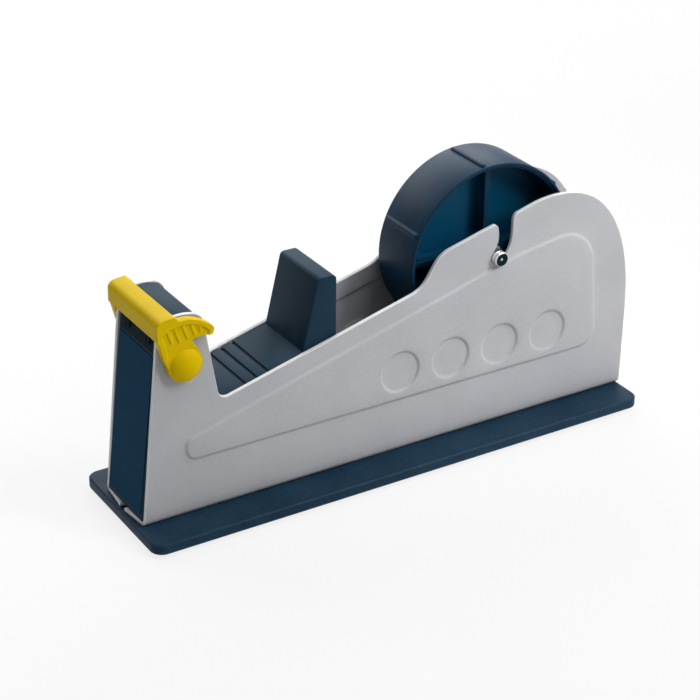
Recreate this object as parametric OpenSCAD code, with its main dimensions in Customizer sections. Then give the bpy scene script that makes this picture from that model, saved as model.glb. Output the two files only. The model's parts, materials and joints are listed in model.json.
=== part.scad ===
// Bench tape dispenser for one roll of 25 mm tape on a 76 mm core.
// The front is towards -X, the side seen first is -Y, and the rubber feet stand on Z = 0.

/* [Base] */
// Length of the base plate
base_l = 224; // [200:1:260]
// Width of the base plate
base_w = 61; // [54:0.5:80]
// Thickness of the base plate
base_t = 4; // [3.5:0.1:6]
// Radius of the base plate's corners
base_corner_r = 5; // [2:0.5:9]
// Bevel round the top of the base plate
base_edge = 0.5; // [0.2:0.1:1]
// Diameter of a rubber foot
foot_d = 10; // [7:0.5:12]
// Height of a rubber foot below the base plate
foot_h = 2; // [1.5:0.1:4]
// Distance from the base plate's edges to the middle of a foot
foot_inset = 11; // [9:0.5:13]
// Diameter of the stem that holds a foot in the base plate
foot_stem_d = 4; // [3:0.1:5]
// Length of the stem that holds a foot in the base plate
foot_stem_l = 2.5; // [1.5:0.1:3]

/* [Side plates] */
// Width over both side plates
body_w = 32.4; // [31.4:0.1:34]
// Thickness of the sheet metal
plate_t = 1.7; // [1.2:0.1:2]
// Outer radius of the bend between a side plate and its flange
bend_r = 2.5; // [2.2:0.1:4]
// Gap between the two bottom flanges
flange_gap = 3.8; // [2:0.1:6]
// Distance from the base plate's front end to the side plates
front_setback = 1.3; // [0.5:0.1:4]
// Backward lean of the front edge, in degrees
front_lean = 6.66; // [4:0.1:9]
// Height of the highest point above the base plate
plate_h = 94.1; // [90:0.1:100]
// Height at which the rounded rear shoulder starts, above the base plate
shoulder_h = 34; // [25:1:45]
// Length of the rounded rear shoulder
shoulder_l = 39; // [34:1:42]
// Radius of the front post's rounded top, about the guard's pivot
post_top_r = 18.6; // [18:0.1:20]
// Distance from the base plate's front end to the back of the post, at the finger notch
post_l = 35; // [34:0.1:38]
// Forward lean of the post's rear edge, in degrees
post_rear_lean = 9.7; // [6:0.1:12]
// Height of the finger notch above the base plate
notch_h = 44.7; // [42:0.1:47]
// Fillet in the finger notch
notch_r = 3.8; // [1:0.1:5]
// Rise of the sloping edges, in degrees
slope_deg = 15; // [13:0.1:16]
// Distance from the base plate's rear end to the foot of the step in the top edge
step_from_rear = 101.3; // [98:0.1:104]
// Steepness of the step in the top edge, in degrees
step_deg = 58; // [50:1:70]
// Height of the step, between the two sloping edges
step_rise = 10.75; // [9:0.05:12]
// Radius of the two bends of the step
step_r = 12; // [6:0.5:14]
// Radius of the blend between the upper slope and the rear shoulder
crest_r = 38; // [20:1:40]
// Height of the pressed panel above the sheet
panel_rise = 0.8; // [0.4:0.1:1]
// Radius of the four round dimples in the pressed panel
dimple_r = 8.5; // [6:0.1:9]
// Distance between two dimples
dimple_pitch = 23.4; // [21:0.1:25]
// Height of the dimples above the base plate
dimple_h = 35.5; // [32:0.1:38]
// Distance from the base plate's rear end to the last dimple
dimple_from_rear = 40.4; // [36:0.1:44]

/* [Axle and hub] */
// Diameter of the steel axle
axle_d = 6; // [5:0.1:7]
// Distance that the axle stands out past the pressed panels
axle_end = 2; // [1.4:0.1:5]
// Distance from the base plate's rear end to the axle
axle_from_rear = 66.1; // [62:0.1:70]
// Height of the axle above the base plate
axle_h = 73.65; // [72:0.05:75]
// Gap between the axle and the walls of its slots
slot_clear = 0.25; // [0.15:0.05:0.4]
// Radius of the curve that each axle slot follows
slot_path_r = 13.72; // [12:0.01:15]
// Direction from the middle of that curve to the seat, in degrees
slot_seat_deg = -40.7; // [-45:0.1:-36]
// Radius of the rounded tooth in front of a slot's mouth
tooth_r = 2.4; // [1.5:0.1:3]
// Direction, from the middle of the curve, in which the slot's wall ends at the tooth, in degrees
tooth_deg = 11; // [5:1:14]
// Radius of the rounded lip behind a slot's mouth
lip_r = 3.4; // [2:0.1:4.5]
// Radius of the hub's rim
hub_r = 37.1; // [36:0.1:38]
// Gap between the hub and each side plate
hub_gap = 2.5; // [2:0.1:3.5]
// Thickness of the hub's rim
rim_t = 2.2; // [1.6:0.1:3]
// Step inside the rim's two edges
rim_step = 1; // [0.6:0.1:1.2]
// Thickness of the hub's web
web_t = 2.5; // [1.6:0.1:4]
// Radius of the hub's middle boss
boss_r = 6.5; // [5.5:0.1:8]
// Height of the ribs that grip the core
grip_r = 1; // [0.6:0.1:1.4]
// Number of ribs that grip the core
grips = 6; // [3:1:10]
// Direction of the first of them, in degrees
grip_deg = 37.4; // [0:0.1:60]
// Number of spokes on each side of the web
spokes = 4; // [3:1:6]
// Thickness of a spoke
spoke_t = 2.4; // [1.6:0.1:4]
// Distance from the rim's edge down to the spokes
spoke_drop = 5; // [3:0.1:7]
// Thickness of a clip on the axle
clip_t = 0.8; // [0.6:0.1:1.2]
// Depth of the grooves in the axle
axle_groove = 0.5; // [0.3:0.1:0.8]

/* [Blade guard] */
// Distance from the base plate's front end to the guard's pivot
pivot_back = 20; // [19.6:0.1:21]
// Height of the guard's pivot above the base plate
pivot_h = 65; // [64:0.1:66]
// Diameter of the pin that the guard turns with
pin_d = 4; // [3:0.1:5]
// Thickness of a guard arm
arm_t = 2.8; // [2:0.1:3.5]
// Gap between a guard arm and the side plate
arm_gap = 0.4; // [0.3:0.05:0.8]
// Gap between the guard's bar and what it passes
guard_gap = 0.35; // [0.3:0.05:0.6]
// Radius of the round end of a guard arm
arm_boss_r = 6.9; // [6:0.1:8]
// Radius of a pivot cap
cap_r = 6.4; // [5.5:0.1:6.8]
// Height of a pivot cap's dome
cap_h = 3; // [2:0.1:4]
// Width of a rib on a thumb wing
thumb_rib_w = 1; // [0.6:0.1:1.4]
// Height of a rib on a thumb wing
thumb_rib_h = 0.7; // [0.3:0.05:1]
// Thickness of the guard spring's wire
spring_t = 1; // [0.6:0.1:1.4]
// Length of the guard spring along the pin
spring_l = 8; // [4:0.5:9]

/* [Nose and tape rest] */
// Wall thickness of the mouldings
wall = 2; // [1.6:0.1:2.6]
// Gap between a moulding and the side plates
side_gap = 0.3; // [0.2:0.05:0.6]
// Depth of the nose's front face behind the side plates' edges
face_setback = 1; // [0.6:0.1:1.5]
// Thickness of the plain front label
label_t = 0.3; // [0.2:0.05:0.5]
// Thickness of the glue behind the plain front label
glue_t = 0.05; // [0.02:0.01:0.1]
// Distance from the floor up to the plain front label
label_low = 1.2; // [0.8:0.2:10]
// Thickness of the cutting blade
blade_t = 0.8; // [0.5:0.1:1]
// Height of the cutting blade
blade_h = 13.5; // [11:0.1:15]
// Number of teeth on the cutting blade
blade_teeth = 12; // [8:1:20]
// Depth of the cutting blade's teeth
tooth_h = 1.6; // [1:0.1:2.2]
// Thickness of the plate that clamps the blade
clamp_t = 1; // [0.8:0.1:1.4]
// Height of the plate that clamps the blade
clamp_h = 8.4; // [7:0.1:9]
// Distance from the base plate's front end to the top front edge of the upright block
block_back = 78; // [74:0.1:82]
// Thickness of the upright block at its top
block_top_l = 7.8; // [6:0.1:10]
// Height of the upright block above the base plate
block_h = 82.8; // [78:0.1:86]
// Backward lean of the upright block's front face, in degrees
block_lean = 14; // [8:0.5:18]
// Depth of the tape rest's surface below the side plates' edges
rest_drop = 0.4; // [0.2:0.1:1]
// Depth of the tape rest's skirt
skirt_h = 12; // [8:0.5:16]
// Width of a groove in the tape rest
groove_w = 1.1; // [0.8:0.1:1.6]
// Depth of a groove in the tape rest
groove_depth = 0.8; // [0.4:0.1:1.2]
// Number of grooves in the tape rest
grooves = 3; // [1:1:4]
// Distance between two grooves
groove_pitch = 4.85; // [4:0.05:6]
// Distance from the upright block's foot to the nearest groove
groove_back = 15; // [12:0.1:18]

/* [Fasteners] */
// Diameter of the screws through the base plate
screw_d = 4; // [3:0.1:4.2]
// Diameter of their countersunk heads
screw_head_d = 7.4; // [6:0.1:8]
// Length of the recesses that the screwdriver turns
driver_l = 3.2; // [2:0.1:3.6]
// Width of those recesses
driver_w = 0.7; // [0.5:0.1:1]
// Diameter of the pillars that the screws hold
pillar_d = 8; // [7:0.1:9]
// Height of the nose's two pillars
pillar_h = 12.8; // [10:0.1:16]
// Distance that a screw reaches into its pillar
thread_l = 6.4; // [5:0.1:8]
// Width across the flats of a nut
nut_w = 7; // [6.5:0.1:8]
// Thickness of a nut
nut_t = 3.2; // [2.4:0.1:4]
// Diameter of the blade screws
blade_screw_d = 2.5; // [2:0.1:3]
// Diameter of the blade screws' heads
blade_screw_head_d = 4.6; // [4:0.1:5.2]
// Height of the blade screws' heads
blade_screw_head_h = 0.7; // [0.5:0.1:0.9]

/* [Hidden] */

// True circles need more than twelve sides
$fn = 64;
// Steps in one rounded corner of an outline, and in the rear shoulder
corner_steps = 8;
shoulder_steps = 18;
// Power of the squared-off ellipse that the rear shoulder follows
shoulder_power = 2.33;
// How far a cut runs past the face that it starts from
overrun = 1;
// Gap between a screw or stem and its hole
hole_fit = 0.05;
// Gap between a turning part and its bore
run_fit = 0.08;
// Radius of the small edges of the sheet and of the mouldings
small_r = 1.5;

// Levels and ends that the pieces share
base_z = foot_h;
top_z = foot_h + base_t;
floor_z = top_z + plate_t;
crest_z = top_z + plate_h;
notch_z = top_z + notch_h;
front_end = -base_l / 2;
rear_end = base_l / 2;
body_half = body_w / 2;
inner_half = body_half - plate_t;
mould_half = inner_half - side_gap;
hub_w = 2 * (inner_half - hub_gap);

// Pivot of the guard, and its distance from the plane of the side plates' front edges
pivot_x = front_end + pivot_back;
pivot_z = top_z + pivot_h;
plate_front = front_end + front_setback;
front_reach = (pivot_x - plate_front - tan(front_lean) * pivot_h) * cos(front_lean);

// Axle seat, and the middle of the curve that the slots follow
axle_x = rear_end - axle_from_rear;
axle_z = top_z + axle_h;
slot_half = axle_d / 2 + slot_clear;
slot_x = axle_x - slot_path_r * cos(slot_seat_deg);
slot_z = axle_z - slot_path_r * sin(slot_seat_deg);

// The two sloping lines of the side plates' top edge
post_x = front_end + post_l;
step_x = rear_end - step_from_rear;
function slope_at(x) = notch_z + (x - post_x) * tan(slope_deg);
function upper_at(x) = slope_at(x) + step_rise;

function unit(v) = v / norm(v);
function flat(p) = [p[0], p[1]];
function wrap(a) = a - 360 * round(a / 360);
function polar(r, a) = [r * cos(a), r * sin(a)];

// Arc that rounds corner b, which is [x, y, radius], between its neighbours a and d
function corner_arc(a, b, d) =
    let (
        r = b[2],
        p = flat(b),
        u = unit(flat(a) - p),
        v = unit(flat(d) - p),
        half = acos(max(-1, min(1, u * v))) / 2,
        c = r == 0 ? p : p + unit(u + v) * r / sin(half),
        s = p + u * r / tan(half) - c,
        e = p + v * r / tan(half) - c,
        start = atan2(s[1], s[0]),
        turn = wrap(atan2(e[1], e[0]) - start)
    )
    r == 0 ? [p] : [for (k = [0:corner_steps]) c + polar(r, start + turn * k / corner_steps)];

// Points of an outline whose corners are [x, y, radius]
function rounded(c) = [
    for (i = [0:len(c) - 1]) each corner_arc(c[(i + len(c) - 1) % len(c)], c[i], c[(i + 1) % len(c)])
];

// Corners of a box from a to b, all of radius r
function box_corners(a, b, r) = [[a[0], a[1], r], [b[0], a[1], r], [b[0], b[1], r], [a[0], b[1], r]];

// Straight strip from a to b with round ends of radius r
function strip(a, b, r) =
    let (along = atan2(b[1] - a[1], b[0] - a[0]))
    [
        for (e = [0, 1], k = [0:corner_steps])
            (e == 0 ? a : b) + polar(r, along + 90 + 180 * e + 180 * k / corner_steps)
    ];

// The same corners moved inwards by d, on an outline that runs anticlockwise
function inset(c, d) = [
    for (i = [0:len(c) - 1])
        let (
            a = unit(flat(c[i]) - flat(c[(i + len(c) - 1) % len(c)])),
            b = unit(flat(c[(i + 1) % len(c)]) - flat(c[i])),
            na = [-a[1], a[0]],
            nb = [-b[1], b[0]],
            p = flat(c[i]) + (na + nb) * d / (1 + na * nb)
        )
        [p[0], p[1], max(0, c[i][2] - d)]
];

// Points of a circle of radius r about (x, z), from one direction to another
function arc_at(r, x, z, from, to) = [
    for (k = [0:corner_steps])
        let (p = polar(r, from + (to - from) * k / corner_steps))
        [x + p[0], z + p[1], 0]
];

// Direction, about the pivot, of the point where a circle meets the front plane set back by d
function front_direction(r, d) = 180 - front_lean - acos((front_reach - d) / r);
// X of the front plane set back by d, at height z
function front_at(z, d) =
    pivot_x - (front_reach - d) / cos(front_lean) + (z - pivot_z) * tan(front_lean);

// Solid whose outline is drawn in X and Z, from y0 to y1
module slab(y0, y1) {
    translate([0, y1, 0]) rotate([90, 0, 0]) linear_extrude(y1 - y0) children();
}

// Solid whose outline is drawn in Y and Z, from x0 to x1
module bar(x0, x1) {
    translate([x0, 0, 0]) rotate([90, 0, 90]) linear_extrude(x1 - x0) children();
}

// Rod along Y, from y0 to y1, about the point (x, z)
module rod(r, x, z, y0, y1) {
    translate([x, y1, z]) rotate([90, 0, 0]) cylinder(r = r, h = y1 - y0);
}

// Frame whose X = 0 is the plane of the side plates' front edges, level with the pivot at Z = 0
module on_front() {
    translate([pivot_x, 0, pivot_z]) rotate([0, front_lean, 0]) translate([-front_reach, 0, 0]) children();
}

module mirrored_y() {
    mirror([0, 1, 0]) children();
}

// Rounded top of the front post, and its rear edge down to the finger notch
post_top_stop = 72;
post_top_back_share = 0.866;
post_rear_r = 5;
function post_top(r, d, edge_r) =
    let (
        start = front_direction(r, d),
        corner = polar(r, start),
        cut = asin(edge_r / r) * 3
    )
    concat(
        [[pivot_x + corner[0], pivot_z + corner[1], edge_r]],
        arc_at(r, pivot_x, pivot_z, start - cut, post_top_stop)
    );
function post_back(r, back, rear_r) =
    let (top = pivot_z + r * post_top_back_share)
    [[back - tan(post_rear_lean) * (top - notch_z), top, rear_r]];

// Side view of a side plate, without its axle slot
step_run = step_rise / (tan(step_deg) - tan(slope_deg));
crest_x = step_x + (crest_z - upper_at(step_x)) / tan(slope_deg);
shoulder_points = [
    for (k = [0:shoulder_steps])
        let (
            a = 90 - 90 * k / shoulder_steps,
            x = pow(max(0, cos(a)), 2 / shoulder_power),
            z = pow(sin(a), 2 / shoulder_power)
        )
        [rear_end - shoulder_l * (1 - x), top_z + shoulder_h + (plate_h - shoulder_h) * z, 0]
];
side_corners = concat(
    [[plate_front, top_z, 0]],
    post_top(post_top_r, 0, small_r),
    post_back(post_top_r, post_x, post_rear_r),
    [
        [post_x, notch_z, notch_r],
        [step_x, slope_at(step_x), step_r],
        [step_x + step_run, upper_at(step_x + step_run), step_r],
        [crest_x, crest_z, crest_r]
    ],
    shoulder_points,
    [[rear_end - front_setback / 2, top_z, 0]]
);

// Curved slot that lets the axle drop into its seat, with a tooth and a lip at its mouth
module slot_outline() {
    left = slot_x + (slot_path_r - slot_half) * cos(2 * tooth_deg);
    right = slot_x + slot_path_r + slot_half;
    run = slot_path_r;
    rise = run * tan(slope_deg);
    high = crest_z + slot_path_r;
    polygon(rounded(concat(
        [[left - run, high, 0], [left - run, upper_at(left) - rise + overrun, 0]],
        [[left, upper_at(left), tooth_r]],
        arc_at(slot_path_r - slot_half, slot_x, slot_z, tooth_deg, slot_seat_deg),
        arc_at(slot_half, axle_x, axle_z, slot_seat_deg + 180, slot_seat_deg + 360),
        arc_at(slot_path_r + slot_half, slot_x, slot_z, slot_seat_deg, 0),
        [[right, upper_at(right), lip_r]],
        [[right + run, upper_at(right) + rise + overrun, 0], [right + run, high, 0]]
    )));
}

// Corners of the pressed panel, as shares of the base plate's length and the side plates' height
panel_shares = [
    [-0.4080, 0.2497, 0.048], [0.4312, 0.2497, 0.080], [0.4085, 0.8342, 0.165],
    [0.2500, 0.7730, 0.600], [-0.4080, 0.3410, 0.037]
];
panel_corners = [for (s = panel_shares) [s[0] * base_l, top_z + s[1] * plate_h, s[2] * plate_h]];
dimple_places = [for (k = [0:3]) [rear_end - dimple_from_rear - k * dimple_pitch, top_z + dimple_h]];

module panel_outline(d) {
    difference() {
        polygon(rounded(inset(panel_corners, d)));
        for (p = dimple_places) translate(p) circle(r = dimple_r + d);
    }
}

// Angle section of a side plate: the upright and its bottom flange
module angle_section() {
    top = crest_z + overrun;
    flange_y = -flange_gap / 2;
    difference() {
        polygon(rounded([
            [-body_half, top_z, bend_r], [flange_y, top_z, 0],
            [flange_y, top, 0], [-body_half, top, 0]
        ]));
        polygon(rounded([
            [-inner_half, floor_z, max(0, bend_r - plate_t)], [flange_y + overrun, floor_z, 0],
            [flange_y + overrun, top + overrun, 0], [-inner_half, top + overrun, 0]
        ]));
    }
}

// Places of the screws that stand in the base plate, and of the feet
screw_y = mould_half - pillar_d / 2 - wall / 2;
block_x = front_end + block_back;
block_rear = block_x + block_top_l;
block_foot_x = block_x - (top_z + block_h - slope_at(block_x)) * tan(block_lean);
rest_front = post_x - 2 * side_gap;
nose_screw_x = front_at(floor_z + pillar_h, face_setback) + wall / 2 + pillar_d / 2;
rest_screws_x = [rest_front + wall + pillar_d, block_rear - wall - pillar_d / 2];
frame_screws_x = [axle_x, axle_x + hub_r + pillar_d];
function both_sides(xs) = [for (x = xs, s = [-1, 1]) [x, s * screw_y]];
nose_places = both_sides([nose_screw_x]);
rest_places = both_sides(rest_screws_x);
frame_places = both_sides(frame_screws_x);
screw_places = concat(nose_places, rest_places, frame_places);
foot_places = [
    for (x = [front_end + foot_inset, rear_end - foot_inset], s = [-1, 1])
        [x, s * (base_w / 2 - foot_inset)]
];

// Countersunk screw with a cross recess, upright, its head's flat face at Z = 0
head_cone = (screw_head_d - screw_d) / 2;
module countersunk(l) {
    difference() {
        union() {
            cylinder(d1 = screw_head_d, d2 = screw_d, h = head_cone);
            cylinder(d = screw_d, h = l);
        }
        for (a = [0, 90]) rotate(a) cube([driver_l, driver_w, head_cone], center = true);
    }
}

module countersunk_hole(l) {
    head = screw_head_d + 2 * hole_fit;
    shank = screw_d + 2 * hole_fit;
    cylinder(d1 = head, d2 = shank, h = head_cone);
    translate([0, 0, -overrun]) cylinder(d = head, h = overrun);
    cylinder(d = shank, h = l);
}

module screws(places, l) {
    color("silver") for (p = places) translate([p[0], p[1], base_z]) countersunk(l);
}

// Straight holes for the screws, from z0 up to z1
module screw_holes(places, z0, z1) {
    for (p = places) translate([p[0], p[1], z0]) cylinder(d = screw_d + 2 * hole_fit, h = z1 - z0);
}

module base_outline(d) {
    corner = [base_l / 2 - d, base_w / 2 - d];
    polygon(rounded(box_corners(-corner, corner, base_corner_r - d)));
}

module base_plate() {
    color("midnightblue") difference() {
        translate([0, 0, base_z]) hull() {
            linear_extrude(base_t - base_edge) base_outline(0);
            linear_extrude(base_t) base_outline(base_edge);
        }
        for (p = screw_places) translate([p[0], p[1], base_z]) countersunk_hole(base_t + overrun);
        for (p = foot_places)
            translate([p[0], p[1], base_z - overrun])
                cylinder(d = foot_stem_d + 2 * hole_fit, h = foot_stem_l + hole_fit + overrun);
    }
}

// Rubber foot with a stem that is pushed into the base plate
module foot(p) {
    rim = foot_h / 4;
    color("dimgray") translate([p[0], p[1], 0]) {
        cylinder(d1 = foot_d - 2 * rim, d2 = foot_d, h = rim);
        translate([0, 0, rim]) cylinder(d = foot_d, h = foot_h - rim);
        cylinder(d = foot_stem_d, h = foot_h + foot_stem_l);
    }
}

// The near side plate; the far one is its mirror image
module side_plate() {
    face = -body_half;
    inside = -inner_half + overrun;
    color("lightgray") difference() {
        union() {
            intersection() {
                bar(plate_front - overrun, rear_end + overrun) angle_section();
                slab(-body_w, 0) polygon(rounded(side_corners));
            }
            slab(face - panel_rise, face + plate_t / 2) panel_outline(0);
        }
        slab(-inner_half - panel_rise, inside) panel_outline(plate_t / 2);
        slab(face - panel_rise - overrun, inside) slot_outline();
        rod(pin_d / 2 + run_fit, pivot_x, pivot_z, face - overrun, inside);
        screw_holes(screw_places, top_z - overrun, floor_z + overrun);
    }
}

module frame_nuts() {
    color("silver") difference() {
        for (p = frame_places)
            translate([p[0], p[1], floor_z]) cylinder(d = nut_w / cos(30), h = nut_t, $fn = 6);
        screw_holes(frame_places, floor_z - overrun, floor_z + nut_t + overrun);
    }
}

// Side view of the nose, moved in by d from its outer faces
module nose_outline(d) {
    r = post_top_r - rest_drop - d;
    depth = face_setback + d;
    back = post_x - 4 * side_gap - d;
    bottom = d == 0 ? floor_z : floor_z - overrun;
    polygon(rounded(concat(
        [[front_at(bottom, depth), bottom, 0]],
        post_top(r, depth, d == 0 ? small_r / 2 : 0),
        post_back(r, back, post_rear_r - small_r),
        [[back, notch_z, 0], [back, bottom, 0]]
    )));
}

// Places of the blade in the front frame, from its foot to the tips of its teeth
blade_half = mould_half - small_r;
blade_front = face_setback + clamp_t;
blade_back = blade_front + blade_t;
blade_tip = sqrt(pow(post_top_r - run_fit, 2) - pow(front_reach - blade_front, 2));
blade_foot = blade_tip - blade_h;
blade_screw_y = blade_half - blade_screw_head_d;
blade_screw_z = blade_foot + clamp_h / 2;
ledge_z = blade_tip - tooth_h * 1.5;
lug_back = blade_back + 2 * wall - small_r / 2;

module blade_screw_holes() {
    for (s = [-1, 1])
        translate([0, s * blade_screw_y, blade_screw_z]) rotate([0, 90, 0])
            cylinder(d = blade_screw_d + 2 * hole_fit, h = lug_back + overrun);
}

module nose() {
    half_in = mould_half - wall;
    half_seat = blade_half + hole_fit;
    ahead = blade_back + overrun;
    color("midnightblue") difference() {
        union() {
            difference() {
                slab(-mould_half, mould_half) nose_outline(0);
                slab(-half_in, half_in) nose_outline(wall);
            }
            on_front()
                translate([face_setback + wall / 2, -half_in - wall / 2, blade_foot - wall])
                    cube([lug_back - face_setback - wall / 2, 2 * half_in + wall, blade_h + wall - tooth_h]);
            for (p = nose_places) translate([p[0], p[1], floor_z]) cylinder(d = pillar_d, h = pillar_h);
        }
        on_front() {
            translate([-overrun, -half_seat, blade_foot - hole_fit])
                cube([ahead + hole_fit, 2 * half_seat, 2 * blade_h]);
            translate([-overrun, -body_half, ledge_z]) cube([ahead + tooth_h, body_w, blade_h]);
            blade_screw_holes();
        }
        rod(pin_d / 2 + run_fit, pivot_x, pivot_z, -body_half, body_half);
        screw_holes(nose_places, floor_z - overrun, floor_z + thread_l + overrun);
    }
}

module front_label() {
    half = mould_half - wall / 2;
    low = (floor_z + label_low - pivot_z) / cos(front_lean);
    high = blade_foot - wall / 2;
    color("navy") on_front()
        bar(face_setback - glue_t - label_t, face_setback - glue_t)
            polygon(rounded(box_corners([-half, low], [half, high], small_r)));
}

// Serrated steel strip whose teeth point up along the front edge
module cutting_blade() {
    pitch = 2 * blade_half / blade_teeth;
    color("silver") on_front() difference() {
        bar(blade_front, blade_back)
            polygon(concat(
                [[-blade_half, blade_foot]],
                [
                    for (k = [0:blade_teeth - 1])
                        each [
                            [-blade_half + k * pitch, blade_tip - tooth_h],
                            [-blade_half + k * pitch + pitch / 2, blade_tip]
                        ]
                ],
                [[blade_half, blade_tip - tooth_h], [blade_half, blade_foot]]
            ));
        blade_screw_holes();
    }
}

module blade_clamp() {
    color("dimgray") on_front() difference() {
        bar(face_setback, blade_front)
            polygon(rounded(box_corners(
                [-blade_half, blade_foot], [blade_half, blade_foot + clamp_h], small_r / 2
            )));
        blade_screw_holes();
    }
}

module blade_screws() {
    color("silver") on_front()
        for (s = [-1, 1])
            translate([face_setback, s * blade_screw_y, blade_screw_z]) rotate([0, 90, 0]) difference() {
                union() {
                    cylinder(d = blade_screw_d, h = lug_back - face_setback - hole_fit);
                    translate([0, 0, -blade_screw_head_h])
                        cylinder(d = blade_screw_head_d, h = blade_screw_head_h);
                }
                translate([0, 0, -blade_screw_head_h])
                    cube([2 * blade_screw_head_d, driver_w, blade_screw_head_h], center = true);
            }
}

// Side view of the tape rest's sloping table with its skirt, moved in by d
module table_outline(d) {
    top = -rest_drop - d / cos(slope_deg);
    low = -skirt_h - (d == 0 ? 0 : overrun);
    front = rest_front + d;
    back = block_rear - d;
    polygon([
        [front, slope_at(front) + low], [back, slope_at(back) + low],
        [back, slope_at(back) + top], [front, slope_at(front) + top]
    ]);
}

// Side view of the upright block that stands on the table, moved in by d and open below
module block_outline(d) {
    low = -rest_drop - (d == 0 ? 0 : overrun);
    back = block_rear - d;
    top = top_z + block_h - d;
    r = max(0, small_r + small_r / 4 - d);
    face = d / cos(block_lean);
    polygon(rounded([
        [back, slope_at(back) + low, 0],
        [back, top, r],
        [block_x + face - d * tan(block_lean), top, r],
        [block_foot_x + face + low * tan(block_lean), slope_at(block_foot_x) + low, 0]
    ]));
}

// Room in the table under the block, inside the block's walls
module block_window() {
    front = block_foot_x + wall / cos(block_lean) + wall / 2;
    half_in = mould_half - wall;
    low = slope_at(front) - skirt_h;
    translate([front, -half_in, low]) cube([block_rear - wall - front, 2 * half_in, block_h]);
}

module tape_rest() {
    half_in = mould_half - wall;
    color("midnightblue") difference() {
        union() {
            difference() {
                slab(-mould_half, mould_half) table_outline(0);
                slab(-half_in, half_in) table_outline(wall);
                block_window();
            }
            for (p = rest_places)
                let (top = slope_at(p[0] - pillar_d / 2) - rest_drop - wall / 2)
                translate([p[0], p[1], floor_z]) cylinder(d = pillar_d, h = top - floor_z);
        }
        for (k = [0:grooves - 1])
            let (x = block_foot_x - groove_back - k * groove_pitch)
            translate([x, 0, slope_at(x) - rest_drop]) rotate([0, -slope_deg, 0])
                translate([-groove_w / 2, -body_half, -groove_depth])
                    cube([groove_w, body_w, groove_depth + overrun]);
        screw_holes(rest_places, floor_z - overrun, floor_z + thread_l + overrun);
    }
}

module upright_block() {
    half_in = mould_half - wall;
    color("midnightblue") difference() {
        slab(-mould_half, mould_half) block_outline(0);
        slab(-half_in, half_in) block_outline(wall);
    }
}

// Torsion spring round the pin, with the leg that pushes on the nose's front wall
module guard_spring() {
    inner = pin_d / 2 + guard_gap;
    y1 = mould_half - wall - run_fit;
    y0 = y1 - spring_l;
    leg = front_reach - lug_back - inner - spring_t / 2;
    color("silver") {
        difference() {
            rod(inner + spring_t, pivot_x, pivot_z, y0, y1);
            rod(inner, pivot_x, pivot_z, y0 - overrun, y1 + overrun);
        }
        translate([pivot_x, y1 - spring_t / 2, pivot_z]) rotate([0, front_lean - 90, 0])
            translate([0, 0, inner + spring_t / 2]) cylinder(d = spring_t, h = leg);
    }
}

// Corners that both guard arms have, from the pivot, as shares of the post's top radius
arm_in = body_half + arm_gap;
arm_out = arm_in + arm_t;
arm_shares = [
    [-0.613, 0.740, 0.05], [-0.480, 0.230, 0.30], [-0.371, -0.030, 0.15], [0.290, 0.060, 0.10],
    [0.290, 0.260, 0.12], [0.118, 0.535, 0.05]
];
arm_top_shares = [[-0.200, 0.975, 0.20], [-0.420, 0.930, 0.10]];
// Corners of the thumb wing on the near arm, and the one corner that the far arm has in its place
wing_shares = [[0.590, 0.535, 0.07], [0.620, 0.690, 0.10], [0.400, 0.860, 0.30], [0.100, 0.985, 0.50]];
plain_shares = [[-0.020, 0.840, 0.10]];
// Ends of the five thumb ribs, upper end first, as shares of the same radius
rib_shares = [
    [-0.371, 0.801, -0.290, 0.565], [-0.242, 0.871, -0.124, 0.543], [-0.048, 0.844, 0.048, 0.580],
    [0.140, 0.817, 0.199, 0.629], [0.312, 0.753, 0.328, 0.640]
];
// The bar's lower edge, front, front top and rear top, as shares of the same radius
bar_shares = [0.615, -0.607, 1.040, 1.076];
bar_crest_share = -0.365;
bar_rear_share = 1.105;
bar_stop = 100.5;
function about_pivot(x, z) = [pivot_x + x * post_top_r, pivot_z + z * post_top_r];

// Cross-section of the bar over the blade
module bar_outline() {
    r = post_top_r + guard_gap;
    low = about_pivot(bar_shares[1], bar_shares[0]);
    rear = about_pivot(bar_rear_share * cos(bar_stop), bar_rear_share * sin(bar_stop));
    crest = about_pivot(bar_crest_share, bar_shares[3]);
    front = about_pivot(bar_shares[1], bar_shares[2]);
    edge = small_r / 3;
    polygon(rounded(concat(
        [[low[0], low[1], edge], [front_at(low[1], -guard_gap), low[1], edge]],
        arc_at(r, pivot_x, pivot_z, front_direction(r, -guard_gap), bar_stop),
        [[rear[0], rear[1], edge], [crest[0], crest[1], small_r], [front[0], front[1], 2 * small_r]]
    )));
}

module guard_arm(side_shares) {
    slab(-arm_out, -arm_in)
        polygon(rounded([for (s = concat(arm_shares, side_shares, arm_top_shares))
            concat(about_pivot(s[0], s[1]), [s[2] * post_top_r])]));
    rod(arm_boss_r, pivot_x, pivot_z, -arm_out, -arm_in);
}

module thumb_ribs() {
    for (s = rib_shares)
        slab(-arm_out - thumb_rib_h, -arm_out + thumb_rib_h)
            polygon(strip(about_pivot(s[0], s[1]), about_pivot(s[2], s[3]), thumb_rib_w / 2));
}

module safety_guard() {
    color("gold") difference() {
        union() {
            slab(-arm_out, arm_out) bar_outline();
            guard_arm(wing_shares);
            thumb_ribs();
            mirrored_y() guard_arm(plain_shares);
        }
        rod(pin_d / 2 + hole_fit, pivot_x, pivot_z, -arm_out - overrun, arm_out + overrun);
    }
}

// Pin that turns with the guard: it runs in the side plates and ends inside the caps
pin_half = arm_out + cap_h / 2;
module guard_pin() {
    color("silver") rod(pin_d / 2, pivot_x, pivot_z, -pin_half, pin_half);
}

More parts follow.
